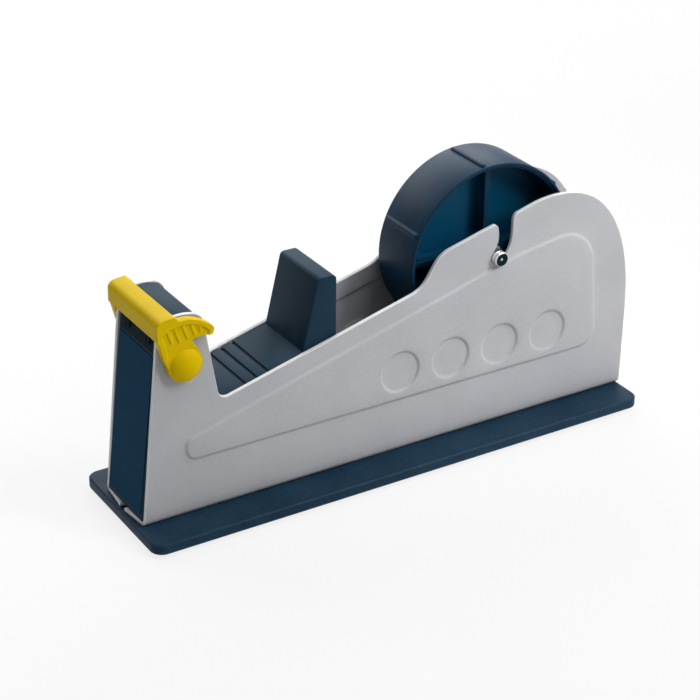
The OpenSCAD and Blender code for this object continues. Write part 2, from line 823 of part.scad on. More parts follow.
// Domed cap over the end of the pin
module pivot_cap() {
    dome_r = (cap_r * cap_r + cap_h * cap_h) / (2 * cap_h);
    color("gold") difference() {
        translate([pivot_x, -arm_out, pivot_z]) rotate([90, 0, 0]) intersection() {
            cylinder(r = cap_r, h = cap_h);
            translate([0, 0, cap_h - dome_r]) sphere(r = dome_r);
        }
        rod(pin_d / 2 + hole_fit, pivot_x, pivot_z, -pin_half - hole_fit, -arm_out + overrun);
    }
}

// Steel axle with a groove outside each side plate and one for each clip
clip_y = hub_w / 2 + 2 * run_fit;
clip_end = clip_y + clip_t + hole_fit;
groove_r = axle_d / 2 - axle_groove;
module axle() {
    r = axle_d / 2;
    outer = body_half + panel_rise;
    half = outer + axle_end;
    edge = axle_groove;
    upper = [
        [r, clip_y], [groove_r, clip_y], [groove_r, clip_end], [r, clip_end],
        [r, outer], [groove_r, outer], [groove_r, outer + clip_t], [r, outer + clip_t],
        [r, half - edge], [r - edge, half], [0, half]
    ];
    lower = [for (i = [len(upper) - 1:-1:0]) [upper[i][0], -upper[i][1]]];
    color("silver") translate([axle_x, 0, axle_z]) rotate([90, 0, 0]) rotate_extrude()
        polygon(concat(lower, upper));
}

// Open ring that snaps into the axle's groove beside the hub
module axle_clip() {
    ring_r = axle_d / 2 + clip_t;
    mouth = 2 * groove_r - clip_t;
    color("dimgray") difference() {
        rod(ring_r, axle_x, axle_z, -clip_y - clip_t, -clip_y);
        rod(groove_r + hole_fit, axle_x, axle_z, -clip_end - overrun, -clip_y + overrun);
        translate([axle_x - mouth / 2, -clip_end - overrun, axle_z - ring_r - overrun])
            cube([mouth, clip_t + 2 * overrun + hole_fit, ring_r + overrun]);
    }
}

// Hub that the tape's core slides onto
module tape_hub() {
    half = hub_w / 2;
    inner = hub_r - rim_t;
    seat = inner + rim_t / 2;
    spoke_half = half - spoke_drop;
    grip_half = half - 2 * grip_r;
    color("midnightblue") difference() {
        union() {
            difference() {
                rod(hub_r, axle_x, axle_z, -half, half);
                rod(inner, axle_x, axle_z, -half - overrun, half + overrun);
                for (s = [-1, 1])
                    rod(inner + rim_step, axle_x, axle_z, s * half - rim_step, s * half + rim_step);
            }
            rod(seat, axle_x, axle_z, -web_t / 2, web_t / 2);
            rod(boss_r, axle_x, axle_z, -half, half);
            for (k = [0:spokes - 1])
                translate([axle_x, 0, axle_z]) rotate([0, -90 - k * 360 / spokes, 0])
                    translate([-spoke_t / 2, -spoke_half, 0]) cube([spoke_t, 2 * spoke_half, seat]);
            for (k = [0:grips - 1])
                let (p = [axle_x, axle_z] + polar(hub_r, grip_deg + k * 360 / grips)) {
                    rod(grip_r, p[0], p[1], -grip_half, grip_half);
                    for (s = [-1, 1]) translate([p[0], s * grip_half, p[1]]) sphere(r = grip_r);
                }
        }
        rod(axle_d / 2 + run_fit, axle_x, axle_z, -half - overrun, half + overrun);
    }
}

base_plate();
foot(foot_places[0]);  // foot_front_near
foot(foot_places[1]);  // foot_front_far
foot(foot_places[2]);  // foot_rear_near
foot(foot_places[3]);  // foot_rear_far
side_plate();  // side_plate_near
mirrored_y() side_plate();  // side_plate_far
screws(frame_places, base_t + plate_t + nut_t);  // frame_screws
frame_nuts();
nose();
screws(nose_places, base_t + plate_t + thread_l);  // nose_screws
front_label();
cutting_blade();
blade_clamp();
blade_screws();
tape_rest();
upright_block();
screws(rest_places, base_t + plate_t + thread_l);  // tape_rest_screws
guard_spring();
safety_guard();
guard_pin();
pivot_cap();  // pivot_cap_near
mirrored_y() pivot_cap();  // pivot_cap_far
axle();
axle_clip();  // axle_clip_near
mirrored_y() axle_clip();  // axle_clip_far
tape_hub();
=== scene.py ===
"""Bench tape dispenser: grey folded plates on a navy base, a lift-out hub and a yellow blade guard."""
import json
import math

import bmesh
import bpy
import numpy as np
from mathutils import Matrix, Vector, geometry


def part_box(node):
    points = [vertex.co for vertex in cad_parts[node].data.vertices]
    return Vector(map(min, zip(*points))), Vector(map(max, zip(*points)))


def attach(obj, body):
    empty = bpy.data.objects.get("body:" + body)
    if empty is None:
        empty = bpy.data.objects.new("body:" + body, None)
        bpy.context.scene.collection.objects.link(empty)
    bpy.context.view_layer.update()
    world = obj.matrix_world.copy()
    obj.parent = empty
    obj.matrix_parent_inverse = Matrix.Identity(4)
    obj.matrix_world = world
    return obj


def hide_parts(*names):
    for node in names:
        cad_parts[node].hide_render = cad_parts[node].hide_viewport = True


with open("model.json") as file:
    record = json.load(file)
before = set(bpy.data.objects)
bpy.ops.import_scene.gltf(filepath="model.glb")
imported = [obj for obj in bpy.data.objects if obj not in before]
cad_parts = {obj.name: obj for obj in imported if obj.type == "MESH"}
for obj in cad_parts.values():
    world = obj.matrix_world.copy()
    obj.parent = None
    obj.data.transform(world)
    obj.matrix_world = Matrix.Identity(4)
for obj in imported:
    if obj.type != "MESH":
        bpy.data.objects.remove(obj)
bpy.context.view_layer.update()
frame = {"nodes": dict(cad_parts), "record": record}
MM = 0.001

# ---------------------------------------------------------------- shader sums


class Value:
    """A shader socket that can stand in a sum, a difference or a product."""

    def __init__(self, shader, socket):
        self.shader, self.socket = shader, socket

    def __add__(self, other):
        return self.shader.math("ADD", self, other)

    def __radd__(self, other):
        return self.shader.math("ADD", other, self)

    def __sub__(self, other):
        return self.shader.math("SUBTRACT", self, other)

    def __rsub__(self, other):
        return self.shader.math("SUBTRACT", other, self)

    def __mul__(self, other):
        return self.shader.math("MULTIPLY", self, other)

    def __rmul__(self, other):
        return self.shader.math("MULTIPLY", other, self)


class Shader:
    """The nodes of one material or of the world."""

    def __init__(self, tree):
        self.tree = tree
        tree.nodes.clear()

    def feed(self, socket, value):
        if isinstance(value, Value):
            self.tree.links.new(value.socket, socket)
        else:
            socket.default_value = value

    def node(self, kind, settings=None, inputs=None, output=0):
        """Makes a node, sets it up, feeds its sockets and returns one of its outputs."""
        made = self.tree.nodes.new(kind)
        for key, value in (settings or {}).items():
            setattr(made, key, value)
        for key, value in (inputs or {}).items():
            self.feed(made.inputs[key], value)
        return Value(self, made.outputs[output] if made.outputs else None)

    def math(self, operation, first, second):
        return self.node("ShaderNodeMath", {"operation": operation}, {0: first, 1: second})

    def vector(self, operation, first, second=(0, 0, 0), output="Vector"):
        return self.node("ShaderNodeVectorMath", {"operation": operation}, {0: first, 1: second}, output)

    def shows_white(self):
        """1 for the rays that show the surroundings: straight from the camera, mirrored or sent through."""
        camera, mirrored, through = (self.node("ShaderNodeLightPath", output=f"Is {kind} Ray")
                                     for kind in ("Camera", "Glossy", "Transmission"))
        return self.math("MINIMUM", camera + mirrored + through, 1.0)


class Finish(Shader):
    """One material of the object or of its stage."""

    def __init__(self, name):
        self.material = bpy.data.materials.new(name)
        self.material.use_nodes = True
        super().__init__(self.material.node_tree)

    def place(self):
        return self.node("ShaderNodeTexCoord", output="Object")

    def stretched(self, factors):
        return self.vector("MULTIPLY", self.place(), factors)

    def grain(self, size_mm, detail=2.0, place=None):
        """Noise from 0 to 1 whose lumps are about size_mm across."""
        return self.node("ShaderNodeTexNoise", {}, {
            "Vector": place or self.place(), "Scale": 1 / (size_mm * MM), "Detail": detail})

    def ramp(self, value, low, high):
        return self.node("ShaderNodeMapRange", {"clamp": True}, {
            "Value": value, "From Min": low, "From Max": high})

    def blend(self, mask, first, second):
        return self.node("ShaderNodeMix", {"data_type": "RGBA"}, {0: mask, 6: first, 7: second}, output=2)

    def edges(self, radius_mm):
        """Mask of the edges, from how far a rounded normal turns from the true one."""
        round_normal = self.node("ShaderNodeBevel", {"samples": 6}, {"Radius": radius_mm * MM})
        normal = self.node("ShaderNodeNewGeometry", output="Normal")
        return self.ramp(1 - self.vector("DOT_PRODUCT", round_normal, normal, "Value"), low=0.02, high=0.25)

    def off_disc(self, middle, radius_mm, fade_mm, flatter):
        """Mask from 0 in a round space about middle to 1 outside; it is this many times flatter along Y."""
        off = self.vector("MULTIPLY", self.vector("SUBTRACT", self.place(), middle), (1, flatter, 1))
        way = self.vector("LENGTH", off, output="Value")
        return self.ramp(way, low=(radius_mm - fade_mm) * MM, high=radius_mm * MM)

    def bumps(self, height, distance_mm, strength=1.0):
        return self.node("ShaderNodeBump", {}, {
            "Height": height, "Distance": distance_mm * MM, "Strength": strength})

    def surface(self, **sockets):
        """The surface's shader, whose sockets are named in small letters with a _ for each space."""
        return self.node("ShaderNodeBsdfPrincipled", {}, {
            " ".join(w if w.isupper() else w.capitalize() for w in name.split("_")): value
            for name, value in sockets.items()})

    def shown(self, shader):
        """The material, with this shader as its surface."""
        self.node("ShaderNodeOutputMaterial", {}, {"Surface": shader})
        return self.material


def tone(red, green, blue):
    """A colour as it looks on a screen, 0 to 255, turned into light."""
    def light(v):
        v = v / 255
        return v / 12.92 if v <= 0.04045 else ((v + 0.055) / 1.055) ** 2.4
    return light(red), light(green), light(blue), 1.0


def grey(level):
    return level, level, level, 1.0


# ---------------------------------------------------------------- finishes

axle_low, axle_high = (Vector(v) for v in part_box("axle"))
axle_middle = (axle_low + axle_high) / 2
# Round space about the axle where a lighter tone is painted on the hub's recessed web as light.
web_r_mm, web_fade_mm, web_flatter = 34.7, 2, 5


def powder_paint(name, colour, pale, rough, peel_mm, peel_depth_mm, wear_and_highlight, gloss):
    """Baked powder paint: a fine orange peel, soft clouds of tone and edges painted paler, partly real
    scuffing of the paint and partly a painted highlight.
    """
    f = Finish(name)
    clouds = f.ramp(f.grain(22, detail=3), low=0.35, high=0.65)
    flecks = f.ramp(f.grain(0.7, detail=1), low=0.4, high=0.75)
    patchy = f.ramp(f.grain(3.5, detail=4), low=0.35, high=0.6)
    # Edges painted paler: partly real scuffing, mostly a painted highlight along every edge.
    worn_and_highlit_edges = f.edges(0.45) * (0.5 + patchy * 0.5) * wear_and_highlight
    body = f.blend(clouds * 0.06 + flecks * 0.07, colour, pale)
    peel = f.grain(peel_mm)
    waves = f.grain(peel_mm * 5, detail=1)
    return f.shown(f.surface(
        base_color=f.blend(worn_and_highlit_edges, body, pale), roughness=rough + clouds * 0.05 - worn_and_highlit_edges * 0.06,
        normal=f.bumps(peel + waves * 0.6, peel_depth_mm), IOR=gloss))


def moulded(name, colour, pale, rough, grain_mm, grain_depth_mm, gloss, wear_and_highlight=0.5, web_painted_light=None):
    """Moulded plastic: a spark-eroded grain, faint flow marks and slightly polished edges, made paler partly
    as real rubbing and partly as a painted highlight.

    The last argument takes the place of colour on the hub's web and on the roots of its spokes: a lighter
    tone of the same plastic, painted light on the recessed web."""
    f = Finish(name)
    if web_painted_light:
        colour = f.blend(f.off_disc(axle_middle, web_r_mm, web_fade_mm, web_flatter), web_painted_light, colour)
    flow = f.ramp(f.grain(14, place=f.stretched((1.0, 2.6, 1.0))), low=0.3, high=0.7)
    # Edges painted paler: partly real rubbing, partly a painted highlight.
    rubbed_and_highlit_edges = f.edges(0.5) * f.ramp(f.grain(4, detail=3), low=0.3, high=0.65) * wear_and_highlight
    body = f.blend(flow * 0.10, colour, pale)
    return f.shown(f.surface(
        base_color=f.blend(rubbed_and_highlit_edges * 0.5, body, pale), roughness=rough + flow * 0.06 - rubbed_and_highlit_edges * 0.10,
        normal=f.bumps(f.grain(grain_mm), grain_depth_mm), IOR=gloss))


def bright_steel(name, colour, dark, rough, across):
    """Plain steel with fine lines along one way and faint stains."""
    f = Finish(name)
    lines = f.grain(0.25, detail=3, place=f.stretched(across))
    stains = f.ramp(f.grain(3, detail=4), low=0.45, high=0.75)
    return f.shown(f.surface(
        base_color=f.blend(stains * 0.35 + f.edges(0.3) * 0.1, colour, dark), metallic=1.0,
        roughness=rough + lines * 0.14 + stains * 0.08, normal=f.bumps(lines, 0.02, strength=0.5)))


def black_rubber(name):
    f = Finish(name)
    dust = f.ramp(f.grain(1.6, detail=4), low=0.45, high=0.8)
    return f.shown(f.surface(
        base_color=f.blend(dust * 0.4, tone(26, 26, 27), tone(74, 73, 70)),
        roughness=0.72 + dust * 0.15, normal=f.bumps(f.grain(0.4), 0.05)))


def plain_film(name):
    """Navy film on the nose: smooth, with a very slight ripple from the glue."""
    f = Finish(name)
    ripple = f.grain(9, detail=1)
    scuffs = f.ramp(f.grain(1.2, detail=4), low=0.55, high=0.85)
    return f.shown(f.surface(
        base_color=f.blend(scuffs * 0.15 + f.edges(0.25) * 0.2, tone(0, 56, 84), tone(40, 92, 118)),
        roughness=0.40 + scuffs * 0.12, normal=f.bumps(ripple, 0.06), IOR=1.06))


grey_paint = powder_paint("grey_paint", tone(167, 168, 172), tone(238, 239, 241), rough=0.45,
                          peel_mm=0.55, peel_depth_mm=0.014, wear_and_highlight=0.8, gloss=1.25)
# A paler copy of the grey paint for the plates' cut edges: a painted highlight along them.
edge_paint_painted_highlight = powder_paint("edge_paint_painted_highlight", tone(212, 213, 215), tone(240, 240, 241), rough=0.42,
                          peel_mm=0.55, peel_depth_mm=0.008, wear_and_highlight=0.8, gloss=1.25)
base_paint = powder_paint("base_paint", tone(18, 44, 62), tone(92, 120, 144), rough=0.42,
                          peel_mm=0.60, peel_depth_mm=0.030, wear_and_highlight=0.9, gloss=1.15)
navy_plastic = moulded("navy_plastic", tone(22, 46, 62), tone(62, 86, 108), rough=0.46,
                       grain_mm=0.35, grain_depth_mm=0.020, gloss=1.14)
# The hub's web gets a lighter tone of the same plastic: painted light on its recessed web.
hub_plastic = moulded("hub_plastic", tone(0, 38, 60), tone(34, 84, 116), rough=0.38,
                      grain_mm=0.45, grain_depth_mm=0.014, gloss=1.19, wear_and_highlight=0.9, web_painted_light=tone(0, 61, 89))
guard_yellow = moulded("guard_yellow", tone(210, 178, 0), tone(240, 214, 30), rough=0.34,
                       grain_mm=0.60, grain_depth_mm=0.010, gloss=1.10, wear_and_highlight=0.3)
# A dark finish that paints shade: on the blade clamp and its screws it stands for the shade under the
# guard's bar, on the axle's end faces for their dark reflection.
dark_steel_painted_shade = moulded("dark_steel_painted_shade", tone(22, 34, 42), tone(56, 66, 73), rough=0.4,
                      grain_mm=0.30, grain_depth_mm=0.010, gloss=1.05)
zinc_steel = bright_steel("zinc_steel", (0.66, 0.66, 0.65, 1), (0.34, 0.33, 0.32, 1), rough=0.24,
                          across=(9, 1, 9))
blade_steel = bright_steel("blade_steel", (0.70, 0.70, 0.70, 1), (0.40, 0.40, 0.41, 1), rough=0.22,
                           across=(1, 9, 1))
clamp_steel = bright_steel("clamp_steel", (0.30, 0.30, 0.32, 1), (0.16, 0.16, 0.17, 1), rough=0.34,
                           across=(1, 9, 1))
foot_rubber = black_rubber("foot_rubber")
label_film = plain_film("label_film")

# ---------------------------------------------------------------- meshes

body_of = {node: body for body, nodes in frame["record"]["behaviour"]["bodies"].items() for node in nodes}
weld_way, least_edge = 0.002 * MM, 0.001 * MM


def welded(node):
    """A copy of a CAD node's mesh with its corners joined and no edge without length."""
    bm = bmesh.new()
    bm.from_mesh(frame["nodes"][node].data)
    bmesh.ops.remove_doubles(bm, verts=bm.verts, dist=weld_way)
    bmesh.ops.dissolve_degenerate(bm, edges=bm.edges, dist=least_edge)
    return bm


def piece(name, node, mesh, *finishes):
    """Shows a mesh in place of a CAD node, on the body that the node has."""
    obj = bpy.data.objects.new(name, mesh)
    bpy.context.scene.collection.objects.link(obj)
    for finish in finishes:
        mesh.materials.append(finish)
    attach(obj, body_of[node])
    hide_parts(node)


def smooth(mesh, degrees):
    """Shades a mesh as round, but for the edges that turn by more than this."""
    mesh.shade_smooth()
    mesh.set_sharp_from_angle(angle=math.radians(degrees))


def softened(name, node, finish, width_mm, steps=3, flat_degrees=1, least_degrees=38, smooth_degrees=34):
    """A CAD node with its sharp edges rounded."""
    bm = welded(node)
    bmesh.ops.dissolve_limit(bm, angle_limit=math.radians(flat_degrees), verts=bm.verts, edges=bm.edges)
    sharp = [e for e in bm.edges if len(e.link_faces) == 2 and e.is_convex
             and e.calc_face_angle(0) > math.radians(least_degrees)]
    bmesh.ops.bevel(bm, geom=sharp, offset=width_mm * MM, offset_type="OFFSET", segments=steps, profile=0.5,
                    affect="EDGES", clamp_overlap=True)
    bmesh.ops.holes_fill(bm, edges=[e for e in bm.edges if e.is_boundary], sides=0)
    mesh = bpy.data.meshes.new(name)
    bm.to_mesh(mesh)
    bm.free()
    smooth(mesh, smooth_degrees)
    piece(name, node, mesh, finish)


def remoulded(name, node, finish, voxel_mm, rounds, fill, relief):
    """A CAD node made again in fine even faces with soft edges, as in a moulding, and given a relief."""
    bm = welded(node)
    fill(bm)
    rough = bpy.data.objects.new("rough", bpy.data.meshes.new("rough"))
    bm.to_mesh(rough.data)
    bm.free()
    bpy.context.scene.collection.objects.link(rough)
    remesh = rough.modifiers.new("even_faces", "REMESH")
    remesh.mode, remesh.voxel_size, remesh.adaptivity = "VOXEL", voxel_mm * MM, 0.0
    soften = rough.modifiers.new("run_edges", "SMOOTH")
    soften.factor, soften.iterations = 0.5, rounds
    mesh = bpy.data.meshes.new_from_object(rough.evaluated_get(bpy.context.evaluated_depsgraph_get()))
    mesh.name = name
    bpy.data.objects.remove(rough)
    spots = np.empty(3 * len(mesh.vertices))
    mesh.vertices.foreach_get("co", spots)
    mesh.vertices.foreach_set("co", relief(spots.reshape(-1, 3)).ravel())
    mesh.update()
    mesh.shade_smooth()
    piece(name, node, mesh, finish)


# ---------------------------------------------------------------- rims

face_level, face_turn = 0.02 * MM, 0.999


def rims_at(node, y, way=-1):
    """Closed rims, in X and Z, of a CAD node's flat faces that look to -Y, or to +Y, at this y."""
    bm = welded(node)
    flat = {f for f in bm.faces
            if way * f.normal.y > face_turn and abs(f.calc_center_median().y - y) < face_level}
    after = {}
    for f in flat:
        for loop in f.loops:
            mates = [g for g in loop.edge.link_faces if g is not f]
            if not mates or mates[0] not in flat:
                after.setdefault(loop.vert.index, []).append(loop.link_loop_next.vert.index)
    bm.verts.ensure_lookup_table()
    rims = []
    while after:
        rim, here = [], next(iter(after))
        while here in after:
            rim.append((bm.verts[here].co.x, bm.verts[here].co.z))
            step = after[here].pop()
            if not after[here]:
                del after[here]
            here = step
        rims.append(np.array(rim))
    bm.free()
    return sorted(rims, key=lambda r: -abs(area(r)))


def area(rim):
    x, z = rim[:, 0], rim[:, 1]
    return 0.5 * float(np.sum(x * np.roll(z, -1) - z * np.roll(x, -1)))


def same_turn(rim):
    return rim if area(rim) > 0 else rim[::-1]


def stepped(rim, step):
    """The rim with points no further apart than step, its own corners kept."""
    out = []
    for a, b in zip(rim, np.roll(rim, -1, axis=0)):
        n = max(1, int(math.ceil(float(np.hypot(*(b - a))) / step)))
        out += [a + (b - a) * k / n for k in range(n)]
    return np.array(out)


def left_of(runs):
    """The unit vectors that point to the left of each run."""
    runs = runs / np.maximum(np.hypot(runs[:, 0], runs[:, 1]), 1e-12)[:, None]
    return np.column_stack([-runs[:, 1], runs[:, 0]])


def moved_in(rim, by):
    """The rim moved by a short way to the left of its run."""
    n1, n2 = left_of(rim - np.roll(rim, 1, axis=0)), left_of(np.roll(rim, -1, axis=0) - rim)
    mean = n1 + n2
    mean /= np.maximum(np.hypot(mean[:, 0], mean[:, 1]), 1e-9)[:, None]
    reach = np.clip(np.sum(mean * n1, axis=1), 0.5, 1.0)
    return rim + mean * (by / reach)[:, None]


def inside(rim, points):
    x, z = points[:, 0][:, None], points[:, 1][:, None]
    a, b = rim, np.roll(rim, -1, axis=0)
    cuts = (a[:, 1] > z) != (b[:, 1] > z)
    with np.errstate(divide="ignore", invalid="ignore"):
        at = (b[:, 0] - a[:, 0]) * (z - a[:, 1]) / (b[:, 1] - a[:, 1]) + a[:, 0]
    return (np.sum(cuts & (x < at), axis=1) % 2).astype(bool)


def way_to(rim, points, at_once=2000):
    """Distance from each point to the rim."""
    a, b = rim, np.roll(rim, -1, axis=0)
    run = b - a
    length = np.maximum(np.sum(run * run, axis=1), 1e-18)
    best = np.full(len(points), np.inf)
    for start in range(0, len(points), at_once):
        p = points[start:start + at_once, None, :]
        t = np.clip(np.sum((p - a) * run, axis=2) / length, 0, 1)
        q = a + run * t[..., None]
        best[start:start + at_once] = np.sqrt(np.min(np.sum((p - q) ** 2, axis=2), axis=1))
    return best


def eased(share):
    """A share from 0 to 1 made to start and end softly."""
    return share * share * (3 - 2 * share)


# ---------------------------------------------------------------- folded side plates

plate_lo, plate_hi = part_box("side_plate_near")
bend_r, plate_t, flange_gap = 2.5 * MM, 1.7 * MM, 3.8 * MM
panel_rise, ramp_w, edge_w = 0.8 * MM, 1.4 * MM, 0.22 * MM
face_y = plate_lo[1] + panel_rise
bend_z = plate_lo[2] + bend_r
bend_len = bend_r * math.pi / 2
flange_len = -flange_gap / 2 - (face_y + bend_r)
above_bend = 0.3 * MM

upright = [same_turn(r) for r in rims_at("side_plate_near", face_y)]
raised = [same_turn(r) for r in rims_at("side_plate_near", plate_lo[1])]
silhouette, panel = upright[0], raised[0]
dimples = raised[1:]
pin_hole = min(upright, key=lambda r: abs(area(r)))

# How fine the sheet is: steps along its rims, rings over the ramps, and rows of points in between.
rim_step, hole_step, ramp_step = 1.2 * MM, 0.8 * MM, 1.1 * MM
ring_shares, ring_gap = (-0.55, -0.3, 0, 0.3, 0.55), 0.4 * MM
pitch, row_share, bend_rows = 3.2 * MM, 0.866, 6
rim_gap, ramp_gap = 0.9 * MM, 1.5 * MM
to_mm = 1000.0


def blank_of(rim):
    """The plate's outline before it was folded, with the flange laid out below the bend."""
    top = rim[rim[:, 1] > bend_z + above_bend]
    gap = int(np.argmax(np.hypot(*(top - np.roll(top, 1, axis=0)).T)))
    top = np.roll(top, -gap, axis=0)
    low = bend_z - bend_len - flange_len
    tail = [(plate_lo[0], low), (plate_hi[0], low)]
    return np.vstack([top, tail if top[-1][0] < top[0][0] else tail[::-1]])


def fold(points, depth):
    """Blank points to their place on the folded near plate, this far under its outer face."""
    x, s = points[:, 0], points[:, 1]
    turn = np.clip((bend_z - s) / bend_r, 0, math.pi / 2)
    flat = np.maximum(bend_z - bend_len - s, 0)
    y = face_y + bend_r * (1 - np.cos(turn)) + flat
    z = np.where(s > bend_z, s, bend_z - bend_r * np.sin(turn))
    return np.column_stack([x, y + depth * np.cos(turn), z + depth * np.sin(turn)])


def pressed(points):
    """Height of the pressed panel: full inside its rim, none in the dimples, with soft ramps."""
    way = way_to(panel, points) * np.where(inside(panel, points), 1, -1)
    for d in dimples:
        way = np.minimum(way, way_to(d, points) * np.where(inside(d, points), -1, 1))
    return panel_rise * eased(np.clip((way + ramp_w / 2) / ramp_w, 0, 1))


def flat_sheet(outline, hole):
    """Even triangles over the blank, up to edge_w from its outline and its hole.

    Gives the sheet's points, its triangles, and for each of the two rims where its points are."""
    points, edges, loops = [], [], []
    rim_in, hole_in = moved_in(outline, edge_w), moved_in(hole, -edge_w)

    def add(ring, wanted=None):
        """Adds the ring, or the stretches of it that are wanted."""
        wanted = np.ones(len(ring), bool) if wanted is None else wanted
        at = len(points) + np.cumsum(wanted) - 1
        points.extend(ring[wanted].tolist())
        edges.extend((int(at[k]), int(at[n])) for k, n in
                     ((k, (k + 1) % len(ring)) for k in range(len(ring))) if wanted[k] and wanted[n])

    for ring in (rim_in, hole_in):
        loops.append(list(range(len(points), len(points) + len(ring))))
        add(ring)
    for rim in [panel] + dimples:
        even = stepped(rim, ramp_step)
        for share in ring_shares:
            ring = moved_in(even, share * ramp_w)
            add(ring, inside(rim_in, ring) & (way_to(rim_in, ring) > ring_gap))
    low, high = outline.min(axis=0), outline.max(axis=0)
    columns = np.arange(low[0], high[0], pitch)
    rows = np.arange(low[1] + pitch / 2, high[1], pitch * row_share)
    cloud = [(x + (k % 2) * pitch / 2, z) for k, z in enumerate(rows) for x in columns]
    cloud += [(x, bend_z - bend_len * k / bend_rows) for k in range(bend_rows + 1) for x in columns]
    cloud = np.array(cloud)
    keep = inside(rim_in, cloud) & ~inside(hole_in, cloud) & (way_to(rim_in, cloud) > rim_gap)
    for rim in [panel] + dimples:
        keep &= way_to(rim, cloud) > ramp_gap
    points.extend(cloud[keep].tolist())

    flat = [Vector((x * to_mm, z * to_mm)) for x, z in points]
    verts, _, faces, from_points, _, in_loops = geometry.delaunay_2d_cdt(flat, edges, loops, 0, 1e-6)
    place_of = {source: here for here, sources in enumerate(from_points) for source in sources}
    return (np.array([(v.x / to_mm, v.y / to_mm) for v in verts]),
            [f for f, owners in zip(faces, in_loops) if 0 in owners and 1 not in owners],
            [[place_of[k] for k in loop] for loop in loops])


def folded_plate():
    """The near plate as one sheet: its two faces, and between them the cut edges, rounded by edge_w."""
    outline = stepped(same_turn(blank_of(silhouette)), rim_step)
    hole = stepped(pin_hole, hole_step)
    spots, triangles, rims = flat_sheet(outline, hole)
    lift = pressed(spots)
    outer, back = (fold(spots, np.full(len(spots), depth)) for depth in (0.0, plate_t))
    outer[:, 1] -= lift
    back[:, 1] -= lift
    bm = bmesh.new()
    face_verts = [bm.verts.new(v) for v in outer]
    back_verts = [bm.verts.new(v) for v in back]
    for a, b, c in triangles:
        bm.faces.new((face_verts[a], face_verts[b], face_verts[c]))
        bm.faces.new((back_verts[c], back_verts[b], back_verts[a]))
    for ring, index in zip((outline, hole), rims):
        count = len(ring)
        upper, lower = ([bm.verts.new(v) for v in fold(ring, np.full(count, depth))]
                        for depth in (edge_w, plate_t - edge_w))
        for k in range(count):
            n = (k + 1) % count
            for one, two in (([face_verts[index[j]] for j in (k, n)], [upper[j] for j in (n, k)]),
                             ([upper[j] for j in (k, n)], [lower[j] for j in (n, k)]),
                             ([lower[j] for j in (k, n)], [back_verts[index[j]] for j in (n, k)])):
                corners = one + two
                if len(set(corners)) == 4:
                    bm.faces.new(corners).material_index = 1
    bmesh.ops.delete(bm, geom=[v for v in bm.verts if not v.link_faces], context="VERTS")
    bmesh.ops.recalc_face_normals(bm, faces=bm.faces)
    return bm


for side in ("near", "far"):
    plate = folded_plate()
    if side == "far":
        bmesh.ops.scale(plate, vec=(1, -1, 1), verts=plate.verts)
        bmesh.ops.reverse_faces(plate, faces=plate.faces)
    shape = bpy.data.meshes.new(f"folded_plate_{side}")
    plate.to_mesh(shape)
    plate.free()
    smooth(shape, 32)
    # The cut edges take the paler copy of the grey paint, a painted highlight.
    piece(f"folded_plate_{side}", f"side_plate_{side}", shape, grey_paint, edge_paint_painted_highlight)

# ---------------------------------------------------------------- axle


def turned_axle():
    """The hub's axle: clip grooves, collars at its ends, and dished end faces with a centre mark, the dishes
    painted dark as a painted dark reflection.
    """
    half = (axle_high.y - axle_low.y) / 2 / MM
    # Radius and way from the middle, in mm: the shaft, the clip's groove, the neck and the collar;
    # then the dish in the end face, and the mark in the dish.
    shaft = [(3, 0), (3, 12.05), (2.9, 12.16), (2.5, 12.16), (2.5, 13.01), (2.9, 13.01), (3, 13.1),
             (3, half - 2.1), (2.9, half - 2.0), (2.55, half - 2.0), (2.55, half - 1.25),
             (2.9, half - 1.2), (3, half - 1.1), (3, half - 0.35)]
    dish = [(2.65, half), (2.25, half), (2.05, half - 0.25)]
    mark = [(0.5, half - 0.3), (0.35, half - 0.12), (0, half - 0.1)]
    # The dish's steps take the dark finish: painted dark reflection on the steel end faces.
    dark = range(len(shaft), len(shaft) + len(dish))
    bm, steps = bmesh.new(), 48
    for way in (1, -1):
        rings = [[bm.verts.new(axle_middle + Vector((r * math.cos(a), way * y, r * math.sin(a))) * MM)
                  for a in (2 * math.pi * k / steps for k in range(steps if r else 1))]
                 for r, y in shaft + dish + mark]
        for step, (one, two) in enumerate(zip(rings, rings[1:])):
            for k in range(steps):
                n = (k + 1) % steps
                corners = [one[k], one[n], two[n % len(two)], two[k % len(two)]]
                bm.faces.new(list(dict.fromkeys(corners))).material_index = int(step in dark)
    bmesh.ops.remove_doubles(bm, verts=bm.verts, dist=least_edge)
    bmesh.ops.recalc_face_normals(bm, faces=bm.faces)
    mesh = bpy.data.meshes.new("turned_axle")
    bm.to_mesh(mesh)
    bm.free()
    smooth(mesh, 30)
    piece("turned_axle", "axle", mesh, zinc_steel, dark_steel_painted_shade)


# ---------------------------------------------------------------- guard

pivot_x, pivot_z = (v / 2 for v in np.add(*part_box("guard_pin"))[[0, 2]])
arm_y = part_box("safety_guard")[1][1]
root_turns, root_steps = (98, 124), 12
root_r, root_depth = (17.8 * MM, 19.4 * MM), (0.1 * MM, 2.6 * MM)
lip_h, lip_w, lip_slope, lip_step = 0.68 * MM, 2.0 * MM, 0.45 * MM, 0.5 * MM
lip_side, lip_margin = 0.5 * MM, 0.2 * MM
boss_top, wing_from, wing_top = 5.5 * MM, 2.5 * MM, 10.5 * MM
rib_share, rib_least = 0.6, 0.05 * MM


